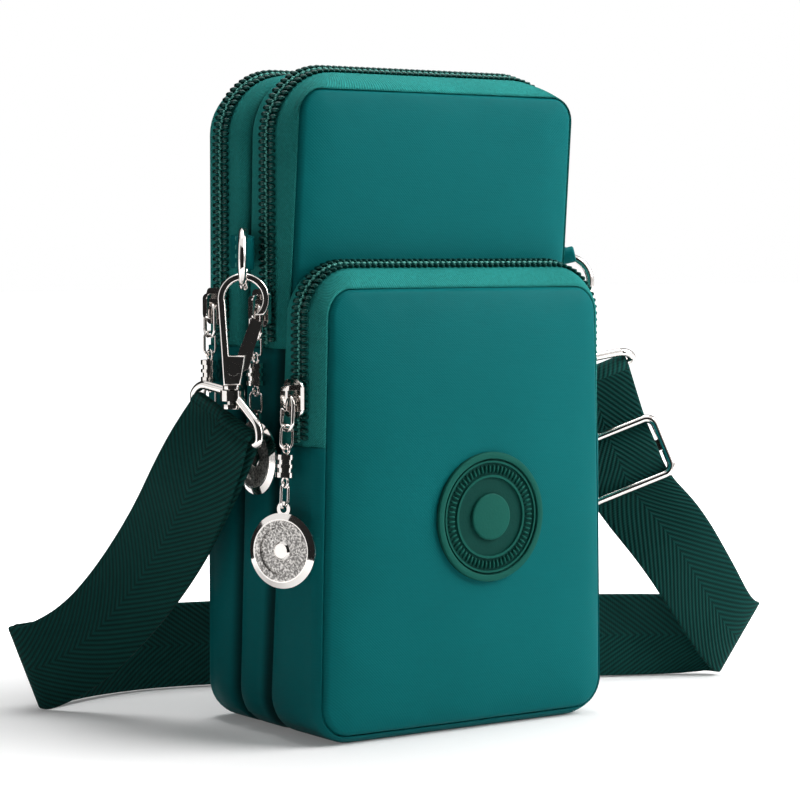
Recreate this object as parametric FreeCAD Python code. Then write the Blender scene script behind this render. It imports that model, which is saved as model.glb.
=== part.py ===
import FreeCAD, Part
import math
import os

# Zipped phone pouch with three compartments, swivel hooks and a webbing shoulder strap.
# Millimetres, +Z up, the front faces -Y, the origin is at the middle of the base.

V = FreeCAD.Vector
overrun = 60.0
clearance = 0.3

# Pouch: outer size, cloth and the sloping walls, each given as its y at the foot and at the head
pouch_width = 97.0
pouch_height = 180.0
foot_radius = 12.0
head_radius = 18.0
panel_thickness = 2.0
divider_thickness = 1.2
gusset_thickness = 1.0
back_face_y = 29.5
divider_foot_y = 12.0
divider_head_y = 5.0
main_front_foot_y = -2.6
main_front_lean_share = 0.084
pocket_seam_y = -28.5
pocket_crown = 4.5
pocket_height = 127.5
pocket_head_radius = 14.0

# Zips: centre lines, lower ends, fold lines of the walls that they open, and the chain's section
rear_zip_y = 19.0
middle_zip_y = -5.0
pocket_zip_y = -21.0
main_zip_end = 105.0
pocket_zip_end = 79.5
main_fold_share = 0.74
pocket_fold_share = 0.7765
tape_thickness = 0.8
coil_row_width = 2.7
coil_height = 1.2
chain_gap = 1.4
stop_length = 1.6

# Slider: two plates joined by a wedge, with a bridge for the bail
slider_length = 10.0
slider_width = 8.2
slider_plate = 1.1
slider_round = 2.0
slider_inner_width = 6.0
slider_play = 0.35
wedge_width = 0.8
wedge_length = 4.0
bridge_length = 7.0
bridge_width = 2.4
bridge_height = 2.9
bridge_window_length = 4.2
bridge_window_height = 2.2
main_slider_park = 11.0
pocket_slider_park = 13.0

# Pull: bail, jump ring, ribbed barrel, link and disc, hung one below the other
bail_wire = 1.1
bail_width = 6.4
bail_length = 10.0
bail_bend = 2.4
bail_stand_off = 0.7
ring_wire = 0.8
ring_width = 4.4
ring_length = 7.0
ring_bend = 1.6
barrel_radius = 2.1
barrel_length = 6.0
barrel_collar_radius = 2.6
barrel_collar_length = 1.3
barrel_waist_length = 0.9
eye_wire = 0.8
eye_radius = 1.3
link_length = 7.4
disc_radius = 10.0
disc_thickness = 2.4
disc_band = 0.6
disc_face_radius = 8.4
disc_floor_radius = 6.4
disc_recess = 0.5
disc_dome_radius = 2.5
disc_dome_height = 1.1
disc_eye_radius = 2.0
disc_eye_bore = 1.0
pocket_disc_turn = 26.0
pocket_pull_lean = 2.5

# Badge on the pocket
badge_radius = 17.6
badge_thickness = 2.4
badge_z = 59.0
badge_x = 4.2
badge_rim = 1.8
badge_recess = 0.8
badge_ring_radius = 11.2
badge_ring_width = 1.0
badge_disc_radius = 7.2

# Side hardware: rings, tabs, hooks and strap loops
side_ring_radius = 7.4
side_ring_wire = 2.2
side_ring_play = 0.6
tab_width = 9.0
tab_thickness = 2.2
tab_barrel_wall = 0.9
tab_barrel_length = 8.0
tab_seat_length = 6.0
left_tab_y = 11.0
left_tab_z = 131.0
left_tab_run = V(0, -1, 0)
left_ring_out = 10.1
left_ring_y = -9.0
left_ring_drop = 1.8
left_ring_axis = V(0.82, -0.572, 0)
left_tab_line = V(0.56, 0.8, 0.2)
left_hook_up = V(0, 0, 1)
left_bar_line = V(0.15, -0.904, -0.4)
right_tab_y = 7.0
right_tab_z = 141.0
right_tab_run = V(0, 0, -1)
right_ring_out = 10.3
right_ring_y = 2.1
right_ring_drop = 19.0
right_ring_axis = V(-0.572, -0.82, 0)
right_tab_line = V(-0.2, 0.1, 0.97)
right_hook_up = V(-0.569, -0.47, 0.672)
right_bar_line = V(0.76, -0.53, 0.376)

# Hook: bow, leg, base, gate and swivel stem, in the hook's own plane
hook_thickness = 3.6
hook_bow_across = 3.1
hook_bow_height = 22.9
hook_bow_radius = 6.9
hook_bow_inner = 5.0
hook_nose_height = 18.6
hook_leg_width = 2.0
hook_base_height = 8.0
hook_base_left = -2.8
hook_base_right = 3.6
hook_foot_half = 2.3
hook_edge = 0.6
gate_thickness = 1.7
gate_slot = 2.2
gate_tip_left = 5.2
gate_tip_right = 7.9
gate_tip_drop = 1.4
gate_root_left = 1.4
gate_root_right = 4.3
gate_boss_radius = 1.9
gate_pivot_across = 0.4
gate_pivot_height = 4.3
rivet_radius = 0.9
rivet_head_radius = 1.7
rivet_head = 0.4
spring_thickness = 0.35
spring_width = 1.4
spring_length = 3.4
stem_radius = 1.6
collar_radius = 2.6
collar_length = 1.0
stem_length = 6.2
stem_head_radius = 2.7
stem_head = 1.2
boss_radius = 3.3
boss_length = 2.8
loop_wire = 2.4
loop_half = 14.8
loop_height = 7.8
loop_bend = 1.5
loop_shoulder_bend = 5.0
loop_crown_bend = 5.0
loop_shoulder_share = 0.91
loop_shoulder_height_share = 0.62
loop_crown_share = 0.2

# Webbing: thickness, play between its layers, and the rows of its route. Each row holds the two
# edges of the strap, from the left hook's loop down to the left fold, behind the pouch to the
# right fold and up to the buckle. The rows beside the pouch are measured from its sides.
strap_width = 25.0
strap_thickness = 1.3
strap_play = 0.5
bar_ease = 3.0
hem_share = 0.55
left_route = [
    (V(-23.5, 12.0, 77.6), V(-10.9, -4.6, 63.8)),
    (V(-21.3, 30.4, 58.6), V(-8.7, 17.4, 44.6)),
    (V(-23.3, 46.2, 42.6), V(-11.9, 38.0, 24.6)),
    (V(-29.5, 56.4, 30.4), V(-20.9, 50.4, 9.4)),
    (V(-37.7, 66.2, 22.9), V(-30.9, 61.6, 1.5)),
    (V(-40.1, 70.0, 23.4), V(-33.3, 65.4, 2.0)),
    (V(-35.9, 71.0, 23.8), V(-29.1, 66.6, 1.4)),
    (V(-17.5, 76.0, 25.4), V(-11.5, 74.2, 0.6)),
]
back_route = [
    (V(-40.0, 78.6, 25.6), V(-40.0, 78.0, 0.6)),
    (V(-12.0, 70.8, 25.6), V(-12.0, 70.4, 0.6)),
    (V(36.0, 47.0, 25.6), V(36.0, 46.6, 0.6)),
]
right_route = [
    (V(36.1, 19.8, 25.4), V(36.1, 19.4, 0.6)),
    (V(57.5, 10.0, 24.8), V(53.5, 11.4, 0.6)),
    (V(76.9, -2.6, 23.4), V(66.7, 4.4, 0.8)),
    (V(80.3, -7.2, 23.4), V(69.9, 0.2, 0.8)),
    (V(75.9, -8.0, 24.6), V(65.1, -0.4, 1.8)),
    (V(67.9, -7.4, 36.4), V(54.7, 1.8, 17.6)),
    (V(57.5, -5.8, 52.6), V(42.5, 4.6, 35.6)),
]

# Buckle: a wire frame with a flat middle bar
buckle_wire = 2.6
buckle_half_width = 14.6
buckle_half_length = 9.0
buckle_bend = 3.0
buckle_bar_width = 3.4
buckle_bar_thickness = 1.2
buckle_beside = V(38.8, 11.4, 67.1)
buckle_across = V(0.76, -0.53, 0.376)
buckle_along = V(-0.296, 0.352, 0.889)

half_width = pouch_width / 2
left_side = V(-half_width, 0, 0)
right_side = V(half_width, 0, 0)
main_slider_z = main_zip_end + main_slider_park
pocket_slider_z = pocket_zip_end + pocket_slider_park
main_fold_z = pouch_height * main_fold_share
pocket_fold_z = pocket_height * pocket_fold_share
back_face = (back_face_y, back_face_y)
divider_face = (divider_foot_y, divider_head_y)
main_face = (main_front_foot_y, main_front_foot_y - pouch_height * main_front_lean_share)
pocket_face = (pocket_seam_y, pocket_seam_y)


def shifted(face, distance):
    return (face[0] + distance, face[1] + distance)


def face_y(face, z):
    return face[0] + (face[1] - face[0]) * z / pouch_height


def between(face_a, face_b, low=-overrun):
    """Slab between two walls that slope with the height."""
    high = pouch_height + overrun
    corners = [
        V(-overrun - half_width, face_y(face_a, low), low),
        V(-overrun - half_width, face_y(face_b, low), low),
        V(-overrun - half_width, face_y(face_b, high), high),
        V(-overrun - half_width, face_y(face_a, high), high),
    ]
    outline = Part.makePolygon(corners + corners[:1])
    return Part.Face(outline).extrude(V(pouch_width + 2 * overrun, 0, 0))


def band(low, high):
    """All space between two heights."""
    size = pouch_width + 2 * overrun
    return Part.makeBox(size, size, high - low, V(-size / 2, -size / 2, low))


def block(head, radius, grow):
    """Upright prism with the pouch's rounded outline, grown outward by a distance."""
    side = half_width + grow
    foot = -grow
    top = head + grow
    low = foot_radius + grow
    high = radius + grow
    turn = math.sqrt(0.5)

    def corner(x, z, r, dx, dz):
        return V(x + dx * r * turn, 0, z + dz * r * turn)

    edges = [
        Part.LineSegment(V(-side + low, 0, foot), V(side - low, 0, foot)),
        Part.Arc(V(side - low, 0, foot), corner(side - low, foot + low, low, 1, -1), V(side, 0, foot + low)),
        Part.LineSegment(V(side, 0, foot + low), V(side, 0, top - high)),
        Part.Arc(V(side, 0, top - high), corner(side - high, top - high, high, 1, 1), V(side - high, 0, top)),
        Part.LineSegment(V(side - high, 0, top), V(-side + high, 0, top)),
        Part.Arc(V(-side + high, 0, top), corner(-side + high, top - high, high, -1, 1),
                 V(-side, 0, top - high)),
        Part.LineSegment(V(-side, 0, top - high), V(-side, 0, foot + low)),
        Part.Arc(V(-side, 0, foot + low), corner(-side + low, foot + low, low, -1, -1),
                 V(-side + low, 0, foot)),
    ]
    wire = Part.Wire([edge.toShape() for edge in edges])
    prism = Part.Face(wire).extrude(V(0, pouch_width + 2 * overrun, 0))
    prism.translate(V(0, -half_width - overrun, 0))
    return prism


def skin(head, radius, inner, outer):
    return block(head, radius, outer).cut(block(head, radius, inner))


def seat(shape, origin, across, up):
    """Copy of a shape drawn about zero, moved so that its X lies across and its Z up."""
    turn = FreeCAD.Rotation(across, V(), up, "ZXY")
    placed = shape.copy()
    placed.Placement = FreeCAD.Placement(origin, turn).multiply(shape.Placement)
    return placed


def round_path(points, bends):
    """Closed path through corner points, each turned by a tangent arc of its own radius."""
    edges = []
    starts = []
    ends = []
    count = len(points)
    for i in range(count):
        here = points[i]
        bend = bends[i]
        to_last = (points[i - 1] - here).normalize()
        to_next = (points[(i + 1) % count] - here).normalize()
        half = to_last.getAngle(to_next) / 2
        run = bend / math.tan(half)
        inward = (to_last + to_next).normalize()
        middle = here + inward * (bend / math.sin(half) - bend)
        start = here + to_last * run
        end = here + to_next * run
        edges.append(Part.Arc(start, middle, end).toShape())
        starts.append(start)
        ends.append(end)
    path = []
    for i in range(count):
        path.append(edges[i])
        path.append(Part.LineSegment(ends[i], starts[(i + 1) % count]).toShape())
    return path, ends[-1], (starts[0] - ends[-1]).normalize()


def wire_loop(points, bends, wire):
    """Closed loop of round wire."""
    path, start, line = round_path(points, bends)
    section = Part.Wire([Part.makeCircle(wire / 2, start, line)])
    return Part.Wire([path[-1]] + path[:-1]).makePipeShell([section], True, False)


def oblong(width, length, bend, wire, line):
    """Oblong wire ring that hangs below zero, its width along the given line."""
    side = line * ((width - wire) / 2)
    low = V(0, 0, wire - length)
    corners = [side, side + low, low - side, side * -1]
    return wire_loop(corners, [bend] * len(corners), wire)


def upright(radius, low, high):
    return Part.makeCylinder(radius, high - low, V(0, 0, low))


parts = {}

# Panels: cloth bonded to thin foam. The walls that a zip opens are cut at their fold lines.
main_block = block(pouch_height, head_radius, 0)
pocket_block = block(pocket_height, pocket_head_radius, 0)
fold_gap = clearance / 2
back_inner = shifted(back_face, -panel_thickness)
divider_rear = shifted(divider_face, divider_thickness / 2)
divider_front = shifted(divider_face, -divider_thickness / 2)
main_inner = shifted(main_face, panel_thickness)
pocket_inner = shifted(pocket_face, panel_thickness)

back_panel = main_block.common(between(back_inner, back_face))
main_panel = main_block.common(between(main_face, main_inner))
parts["divider_panel"] = main_block.common(between(divider_front, divider_rear))


def bulge(shift):
    """Pocket's block with a crowned front, moved back by a distance."""
    middle = pocket_height / 2
    solid = pocket_block.common(between(shifted(pocket_face, -pocket_crown), pocket_inner))
    for half, axis in ((half_width, V(0, 0, 1)), (middle, V(1, 0, 0))):
        radius = (half * half + pocket_crown * pocket_crown) / (2 * pocket_crown)
        start = V(0, pocket_seam_y - pocket_crown + radius, middle) - axis * (pouch_height + overrun)
        solid = solid.common(Part.makeCylinder(radius, 2 * (pouch_height + overrun), start, axis))
    solid.translate(V(0, shift, 0))
    return solid


pocket_plate = pocket_block.common(between(pocket_face, pocket_inner))
pocket_panel = bulge(0).fuse(pocket_plate).removeSplitter().cut(bulge(panel_thickness))
for name, panel, fold in (
    ("back_panel", back_panel, main_fold_z),
    ("main_front", main_panel, main_fold_z),
    ("pocket_front", pocket_panel, pocket_fold_z),
):
    parts[name + "_lower"] = panel.common(band(-overrun, fold - fold_gap))
    parts[name + "_upper"] = panel.common(band(fold + fold_gap, pouch_height + overrun))

# Gussets and zips. Each zip runs over the top and down both sides between two walls. The tape on
# the side of the wall that opens is cut at the fold line, and its lower end stays with the pouch.
zips = {
    "rear": (rear_zip_y, divider_rear, back_inner, pouch_height, head_radius, main_zip_end, main_fold_z, 1),
    "middle": (middle_zip_y, main_inner, divider_front, pouch_height, head_radius,
               main_zip_end, main_fold_z, -1),
    "pocket": (pocket_zip_y, pocket_inner, main_face, pocket_height, pocket_head_radius,
               pocket_zip_end, pocket_fold_z, -1),
}
for name, (y, front, rear, head, radius, end, fold, opens) in zips.items():
    high = pouch_height + overrun
    wall = skin(head, radius, -gusset_thickness, 0)
    parts[name + "_gusset"] = wall.common(between(front, rear)).common(band(-overrun, end))
    tape = skin(head, radius, -tape_thickness, 0)
    coil = skin(head, radius, 0, coil_height)
    row = chain_gap / 2 + coil_row_width
    sides = {-1: between(front, (y - chain_gap / 2, y - chain_gap / 2), end),
             1: between((y + chain_gap / 2, y + chain_gap / 2), rear, end)}
    rows = {-1: between((y - row, y - row), (y - chain_gap / 2, y - chain_gap / 2)),
            1: between((y + chain_gap / 2, y + chain_gap / 2), (y + row, y + row))}
    for kind, shell, strips in (("tape", tape, sides), ("coil", coil, rows)):
        low = end if kind == "tape" else end + stop_length
        kept = shell.common(strips[-opens]).common(band(low, high))
        foot = shell.common(strips[opens]).common(band(low, fold - fold_gap))
        parts[name + "_zip_" + kind + "_fixed"] = Part.makeCompound([kept, foot])
        moving = shell.common(strips[opens]).common(band(fold + fold_gap, high))
        parts[name + "_zip_" + kind + "_moving"] = moving

# Sliders and pulls, all parked at the left side. The slider is drawn with its outer side along -X.
coil_face = coil_height + slider_play
plate_face = coil_face + slider_plate
pull_out = plate_face + bail_stand_off + bail_wire / 2


def rounded_plate(width, length, low, high):
    plate = Part.makeBox(high - low, width, length, V(-high, -width / 2, -length / 2))
    upright_edges = [e for e in plate.Edges if abs(e.tangentAt(e.FirstParameter).x) > math.sqrt(0.5)]
    return plate.makeFillet(slider_round, upright_edges)


outer_plate = rounded_plate(slider_width, slider_length, coil_face, plate_face)
inner_low = -tape_thickness - slider_play - slider_plate
inner_plate = rounded_plate(slider_inner_width, slider_length, inner_low, inner_low + slider_plate)
wedge = Part.makeBox(coil_face - inner_low, wedge_width, wedge_length,
                     V(-coil_face, -wedge_width / 2, slider_length / 2 - wedge_length))
bridge = Part.makeBox(bridge_height, bridge_width, bridge_length,
                      V(-plate_face - bridge_height, -bridge_width / 2, -bridge_length / 2))
bridge_edges = [e for e in bridge.Edges
                if abs(e.tangentAt(e.FirstParameter).y) > math.sqrt(0.5)
                and e.CenterOfMass.x < -plate_face - bridge_height / 2]
bridge = bridge.makeFillet(bridge_height / 2, bridge_edges)
window = Part.makeBox(bridge_window_height, bridge_width + overrun, bridge_window_length,
                      V(-plate_face - bridge_window_height, -(bridge_width + overrun) / 2,
                        -bridge_window_length / 2))
slider = outer_plate.fuse([inner_plate, wedge, bridge.cut(window)])

bail = oblong(bail_width, bail_length, bail_bend, bail_wire, V(0, 1, 0))
ring_top = bail_wire - bail_length + (bail_wire + ring_wire) / 2 + clearance
ring = oblong(ring_width, ring_length, ring_bend, ring_wire, V(1, 0, 0))
ring.translate(V(0, 0, ring_top))
eye_top = ring_top + ring_wire - ring_length + (ring_wire + eye_wire) / 2 + clearance
upper_eye = eye_top - eye_radius
barrel_top = upper_eye - eye_radius
lower_eye = barrel_top - barrel_length - eye_radius
barrel = upright(barrel_radius, barrel_top - barrel_length, barrel_top)
barrel_middle = barrel_top - barrel_length / 2
for low, length in (
    (barrel_top - barrel_collar_length, barrel_collar_length),
    (barrel_middle - barrel_waist_length / 2, barrel_waist_length),
    (barrel_top - barrel_length, barrel_collar_length),
):
    barrel = barrel.fuse(upright(barrel_collar_radius, low, low + length))
for z in (upper_eye, lower_eye):
    barrel = barrel.fuse(Part.makeTorus(eye_radius, eye_wire / 2, V(0, 0, z), V(1, 0, 0)))
link_top = lower_eye - eye_radius + (eye_wire + ring_wire) / 2 + clearance
link = oblong(ring_width, link_length, ring_bend, ring_wire, V(1, 0, 0))
link.translate(V(0, 0, link_top))
disc_eye_z = link_top + ring_wire - link_length + ring_wire / 2 + clearance - disc_eye_bore
disc_z = disc_eye_z - disc_radius - disc_eye_bore


def flat_ring(radius, thickness, x, z):
    return Part.makeCylinder(radius, thickness, V(x, 0, z), V(1, 0, 0))


disc = flat_ring(disc_radius, disc_band, -disc_band / 2, disc_z)
disc_slope = (disc_thickness - disc_band) / 2
for side in (-1, 1):
    start = V(side * disc_band / 2, 0, disc_z)
    disc = disc.fuse(Part.makeCone(disc_radius, disc_face_radius, disc_slope, start, V(side, 0, 0)))
disc = disc.cut(flat_ring(disc_floor_radius, disc_recess, -disc_thickness / 2, disc_z))
dome_ball = (disc_dome_radius ** 2 + disc_dome_height ** 2) / (2 * disc_dome_height)
dome_x = dome_ball - disc_thickness / 2 + disc_recess - disc_dome_height
dome = Part.makeSphere(dome_ball, V(dome_x, 0, disc_z))
disc = disc.fuse(dome.common(flat_ring(disc_dome_radius, disc_thickness / 2, -disc_thickness / 2, disc_z)))
eye_plate = flat_ring(disc_eye_radius, eye_wire, -eye_wire / 2, disc_eye_z)
disc = disc.fuse(eye_plate).cut(flat_ring(disc_eye_bore, disc_thickness, -disc_thickness / 2, disc_eye_z))

for name, y, z, turn, lean in (
    ("rear", rear_zip_y, main_slider_z, 0, 0),
    ("middle", middle_zip_y, main_slider_z, 0, 0),
    ("pocket", pocket_zip_y, pocket_slider_z, pocket_disc_turn, pocket_pull_lean),
):
    base = V(-half_width, y, z)
    hang = base + V(-pull_out, 0, bail_wire / 2)
    for kind, solid, origin in (
        ("slider", slider, base),
        ("pull_bail", bail, hang),
        ("pull_ring", ring, hang),
        ("pull_barrel", barrel, hang),
        ("pull_link", link, hang),
        ("pull_disc", disc, hang),
    ):
        placed = solid.copy()
        if kind in ("pull_link", "pull_disc"):
            placed.rotate(V(), V(0, 0, 1), turn)
        if kind != "slider":
            placed.rotate(V(), V(0, 1, 0), lean)
        placed.translate(origin)
        parts[name + "_" + kind] = placed

# Badge: moulded rubber disc with a raised rim, a ring and a plain centre, sewn on the pocket
badge_back = pocket_seam_y
badge_front = pocket_seam_y - pocket_crown - badge_thickness


def badge_disc(radius, front, back):
    return Part.makeCylinder(radius, back - front, V(badge_x, front, badge_z), V(0, 1, 0))


floor_front = badge_front + badge_recess
badge = badge_disc(badge_radius, badge_front, badge_back)
badge = badge.cut(badge_disc(badge_radius - badge_rim, badge_front, floor_front))
raised = badge_disc(badge_ring_radius, badge_front, floor_front)
raised = raised.cut(badge_disc(badge_ring_radius - badge_ring_width, badge_front, floor_front))
centre = badge_disc(badge_disc_radius, badge_front, floor_front)
parts["badge"] = badge.fuse([raised, centre]).cut(pocket_panel).cut(bulge(panel_thickness))


# Side hardware in the hook's own plane: X across, Z up along the stem, Y through the thickness
def plate(points, thickness):
    wire = Part.makePolygon(points + points[:1])
    solid = Part.Face(wire).extrude(V(0, thickness, 0))
    solid.translate(V(0, -thickness / 2, 0))
    return solid


def across_disc(radius, thickness, x, z):
    return Part.makeCylinder(radius, thickness, V(x, -thickness / 2, z), V(0, 1, 0))


bow = across_disc(hook_bow_radius, hook_thickness, hook_bow_across, hook_bow_height)
bow = bow.cut(across_disc(hook_bow_inner, hook_thickness, hook_bow_across, hook_bow_height))
far = hook_bow_across + 2 * hook_bow_radius
bow = bow.cut(plate([V(hook_bow_across, 0, 0), V(far, 0, 0), V(far, 0, hook_nose_height),
                     V(hook_bow_across, 0, hook_nose_height)], hook_thickness))
near = hook_bow_across - 2 * hook_bow_radius
bow = bow.cut(plate([V(near, 0, 0), V(hook_bow_across, 0, 0), V(hook_bow_across, 0, hook_bow_height),
                     V(near, 0, hook_bow_height)], hook_thickness))
leg_left = hook_bow_across - hook_bow_radius
leg = plate([V(leg_left, 0, hook_bow_height), V(leg_left + hook_leg_width, 0, hook_bow_height),
             V(hook_base_left + hook_leg_width, 0, hook_base_height),
             V(hook_base_left, 0, hook_base_height)], hook_thickness)
base_plate = plate([V(hook_base_left, 0, hook_base_height), V(hook_base_right, 0, hook_base_height),
                    V(hook_foot_half, 0, 0), V(-hook_foot_half, 0, 0)], hook_thickness)
hook = bow.fuse([leg, base_plate]).removeSplitter()
long_edges = [e for e in hook.Edges if abs(abs(e.CenterOfMass.y) - hook_thickness / 2) < clearance]
hook = hook.makeFillet(hook_edge, long_edges)
slot_left = gate_pivot_across - gate_boss_radius - clearance
slot_low = gate_pivot_height - gate_boss_radius - clearance
slot = plate([V(slot_left, 0, slot_low), V(far, 0, slot_low), V(far, 0, hook_bow_height),
              V(slot_left + hook_leg_width, 0, hook_base_height),
              V(slot_left, 0, hook_base_height)], gate_slot)
pivot_bore = across_disc(rivet_radius, hook_thickness, gate_pivot_across, gate_pivot_height)
stem = upright(stem_radius, -stem_length, 0).fuse([
    upright(collar_radius, -collar_length, 0),
    upright(stem_head_radius, -stem_length, -stem_length + stem_head),
])
hook = hook.cut(slot).cut(pivot_bore).fuse(stem)
tip = hook_nose_height - 2 * clearance
gate = plate([V(gate_tip_left, 0, tip), V(gate_tip_right, 0, tip - gate_tip_drop),
              V(gate_root_right, 0, gate_pivot_height),
              V(gate_pivot_across, 0, gate_pivot_height - gate_boss_radius),
              V(gate_root_left, 0, hook_base_height)], gate_thickness)
gate = gate.fuse(across_disc(gate_boss_radius, gate_thickness, gate_pivot_across, gate_pivot_height))
gate_bore = rivet_radius + clearance / 2
gate = gate.cut(across_disc(gate_bore, hook_thickness, gate_pivot_across, gate_pivot_height))
rivet = across_disc(rivet_radius, hook_thickness, gate_pivot_across, gate_pivot_height)
for side in (-1, 1):
    start = V(gate_pivot_across, side * hook_thickness / 2, gate_pivot_height)
    rivet = rivet.fuse(Part.makeCylinder(rivet_head_radius, rivet_head, start, V(0, side, 0)))
spring_low = slot_low
spring = plate([V(slot_left, 0, spring_low), V(slot_left + spring_thickness, 0, spring_low),
                V(slot_left + spring_thickness, 0, spring_low + spring_length),
                V(slot_left, 0, spring_low + spring_length)], spring_width)
gate = gate.cut(plate([V(slot_left, 0, spring_low),
                       V(slot_left + spring_thickness + clearance, 0, spring_low),
                       V(slot_left + spring_thickness + clearance, 0, spring_low + spring_length + clearance),
                       V(slot_left, 0, spring_low + spring_length + clearance)], gate_slot))
boss_low = -collar_length - clearance - boss_length

bow_seat = hook_bow_height + hook_bow_inner - side_ring_wire / 2 - side_ring_play
left_ring_centre = left_side + V(-left_ring_out, left_ring_y, left_tab_z - left_ring_drop)
right_ring_centre = right_side + V(right_ring_out, right_ring_y, right_tab_z - right_ring_drop)
hook_pieces = {"hook_body": hook, "hook_gate": gate, "hook_rivet": rivet, "gate_spring": spring}
loop_bends = [loop_bend, loop_bend, loop_shoulder_bend, loop_crown_bend, loop_crown_bend, loop_shoulder_bend]
bars = {}
for side, outward, centre, axis, up, bar_line, tab_line, tab_y, tab_z, tab_run in (
    ("left", -1, left_ring_centre, left_ring_axis, left_hook_up, left_bar_line,
     left_tab_line, left_tab_y, left_tab_z, left_tab_run),
    ("right", 1, right_ring_centre, right_ring_axis, right_hook_up, right_bar_line,
     right_tab_line, right_tab_y, right_tab_z, right_tab_run),
):
    # Round ring, with the hook's bow on its lower side
    ring_axis = V(axis).normalize()
    stem_line = V(up).normalize()
    to_bow = (ring_axis * stem_line.dot(ring_axis) - stem_line).normalize()
    through = ring_axis.cross(to_bow).normalize()
    flat = through.cross(stem_line).normalize()
    parts[side + "_ring"] = Part.makeTorus(side_ring_radius, side_ring_wire / 2, centre, ring_axis)
    bow_point = centre + to_bow * side_ring_radius
    hook_foot = bow_point - flat * hook_bow_across - stem_line * bow_seat
    for kind, solid in hook_pieces.items():
        parts[side + "_" + kind] = seat(solid, hook_foot, flat, stem_line)

    # Strap loop, whose boss turns on the hook's stem
    boss_centre = hook_foot + stem_line * (boss_low + boss_length / 2)
    line = V(bar_line).normalize()
    rise = (stem_line - line * stem_line.dot(line)).normalize()
    shoulder = loop_half * loop_shoulder_share
    shoulder_height = loop_height * loop_shoulder_height_share
    neck = loop_half * loop_crown_share
    corners = [V(-loop_half, 0, 0), V(loop_half, 0, 0), V(shoulder, 0, shoulder_height),
               V(neck, 0, loop_height), V(-neck, 0, loop_height), V(-shoulder, 0, shoulder_height)]
    bar_centre = boss_centre - rise * loop_height
    bars[side] = (bar_centre, line, rise)
    loop = seat(wire_loop(corners, loop_bends, loop_wire), bar_centre, line, rise)
    boss = seat(upright(boss_radius, boss_low, boss_low + boss_length), hook_foot, flat, stem_line)
    bore = seat(upright(stem_radius + clearance, boss_low, 0), hook_foot, flat, stem_line)
    room = upright(stem_head_radius + clearance, -stem_length - clearance, boss_low)
    room = seat(room, hook_foot, flat, stem_line)
    above = seat(upright(collar_radius + clearance, boss_low + boss_length, 0), hook_foot, flat, stem_line)
    parts[side + "_strap_loop"] = loop.fuse(boss).cut(bore).cut(room).cut(above)

    # Folded tab, sewn flat on the side and drawn out to a sleeve round the ring
    to_tab = (V(tab_line) - ring_axis * V(tab_line).dot(ring_axis)).normalize()
    top = centre + to_tab * side_ring_radius
    tangent = ring_axis.cross(to_tab).normalize()
    sleeve_radius = side_ring_wire / 2 + clearance + tab_barrel_wall
    sleeve_end = top - tangent * (tab_barrel_length / 2)
    sleeve = Part.makeCylinder(sleeve_radius, tab_barrel_length, sleeve_end, tangent)
    wire_room = Part.makeTorus(side_ring_radius, side_ring_wire / 2 + clearance, centre, ring_axis)
    lay = V(outward * tab_thickness / 2, 0, 0)
    along = V(outward, 0, 0).cross(tab_run)
    seat_foot = V(outward * (half_width + tab_thickness / 2), tab_y, tab_z)
    seat_end = seat_foot + tab_run * tab_seat_length
    lean = (top - seat_end).cross(tangent).normalize() * (tab_thickness / 2)
    if lean.dot(lay) < 0:
        tangent = tangent * -1
        lean = lean * -1
    rows = ((seat_foot, along, tab_width, lay), (seat_end, along, tab_width, lay),
            (top, tangent, tab_barrel_length, lean))
    sections = []
    for point, line, width, thick in rows:
        reach = line * (width / 2)
        corners = [point - reach - thick, point + reach - thick, point + reach + thick, point - reach + thick]
        sections.append(Part.makePolygon(corners + corners[:1]))
    strip = Part.makeLoft(sections, True, True)
    parts[side + "_tab"] = strip.fuse(sleeve).cut(wire_room)


# Webbing: two layers on one route, each a strip through the same rows
def row_frames(route):
    frames = []
    for i, (a, b) in enumerate(route):
        last = route[max(i - 1, 0)]
        following = route[min(i + 1, len(route) - 1)]
        ahead = (following[0] + following[1] - last[0] - last[1]).normalize()
        width = (b - a).normalize()
        frames.append(((a + b) * (1 / 2), width, width.cross(ahead).normalize()))
    return frames


def strip_solid(rows):
    """Strip through rows that each give a centre, a width line and an outward line."""
    sections = []
    for middle, width, out in rows:
        side = width * (strap_width / 2)
        thick = out * (strap_thickness / 2)
        corners = [middle - side - thick, middle + side - thick, middle + side + thick, middle - side + thick]
        sections.append(Part.makePolygon(corners + corners[:1]))
    return Part.makeLoft(sections, True, True)


def bar_wrap(bar, out):
    """Half turn of webbing over the top of a loop's bar."""
    centre, line, _ = bar
    start = centre - line * (strap_width / 2)
    inner = loop_wire / 2 + clearance
    sleeve = Part.makeCylinder(inner + strap_thickness, strap_width, start, line)
    sleeve = sleeve.cut(Part.makeCylinder(inner, strap_width, start, line))
    corner = V(-overrun - strap_width / 2, -overrun, 0)
    half = Part.makeBox(strap_width + 2 * overrun, 2 * overrun, overrun, corner)
    return sleeve.common(seat(half, centre, line, line.cross(out)))


layer_lift = (strap_thickness + strap_play) / 2
bar_lift = loop_wire / 2 + clearance + strap_thickness / 2
buckle_line = V(buckle_across).normalize()
buckle_rise = (V(buckle_along) - buckle_line * V(buckle_along).dot(buckle_line)).normalize()
buckle_back = buckle_rise.cross(buckle_line)
wire_lift = buckle_wire / 2 + strap_play + strap_thickness / 2
middle_lift = buckle_bar_thickness / 2 + clearance + strap_thickness / 2

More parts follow.
